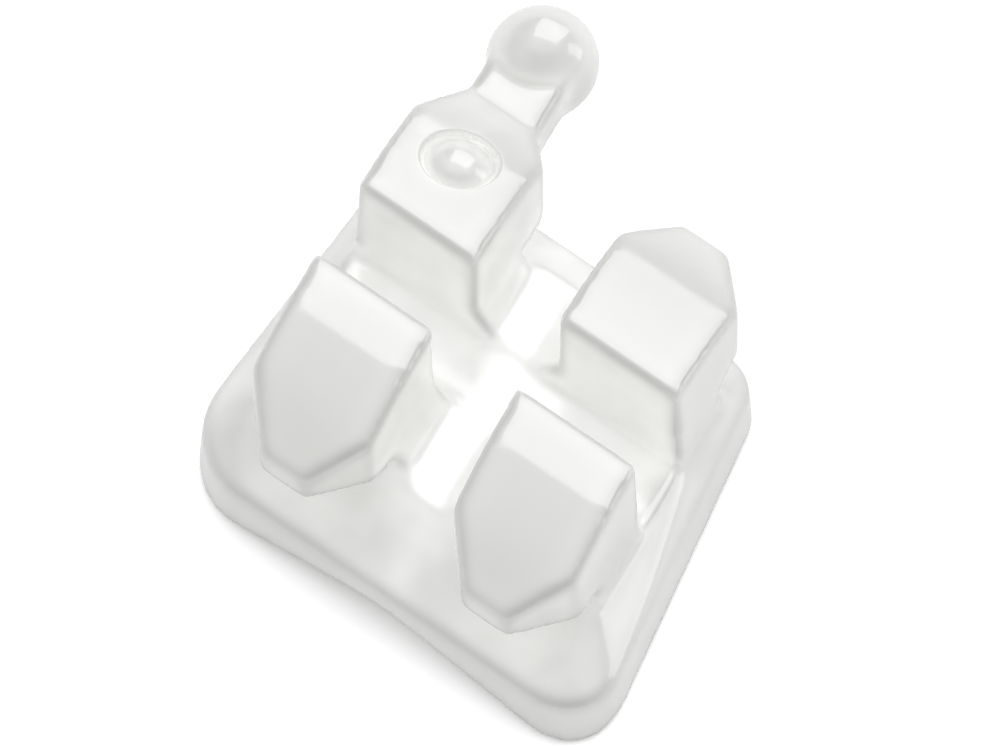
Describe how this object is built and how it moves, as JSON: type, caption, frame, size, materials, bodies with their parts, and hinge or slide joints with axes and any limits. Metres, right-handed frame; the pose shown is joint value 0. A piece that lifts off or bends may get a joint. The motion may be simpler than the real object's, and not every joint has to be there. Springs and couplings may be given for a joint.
{
  "type": "orthodontic bracket",
  "caption": "Translucent ceramic orthodontic bracket with tie wings, an archwire slot across them, a ball hook, an identification dot and an arched bonding base.",
  "frame": {"origin": "below the middle of the archwire slot, on the plane that the two long edges of the base rest on", "axes": "+X along the archwire slot to the mesial side, +Y towards the gum, +Z away from the tooth"},
  "size_m": [0.0038, 0.0042, 0.0014],
  "materials": {
    "ceramic": "polished, milky and slightly translucent"
  },
  "bodies": {
    "root": {"bracket": "ceramic"}
  },
  "joints": []
}
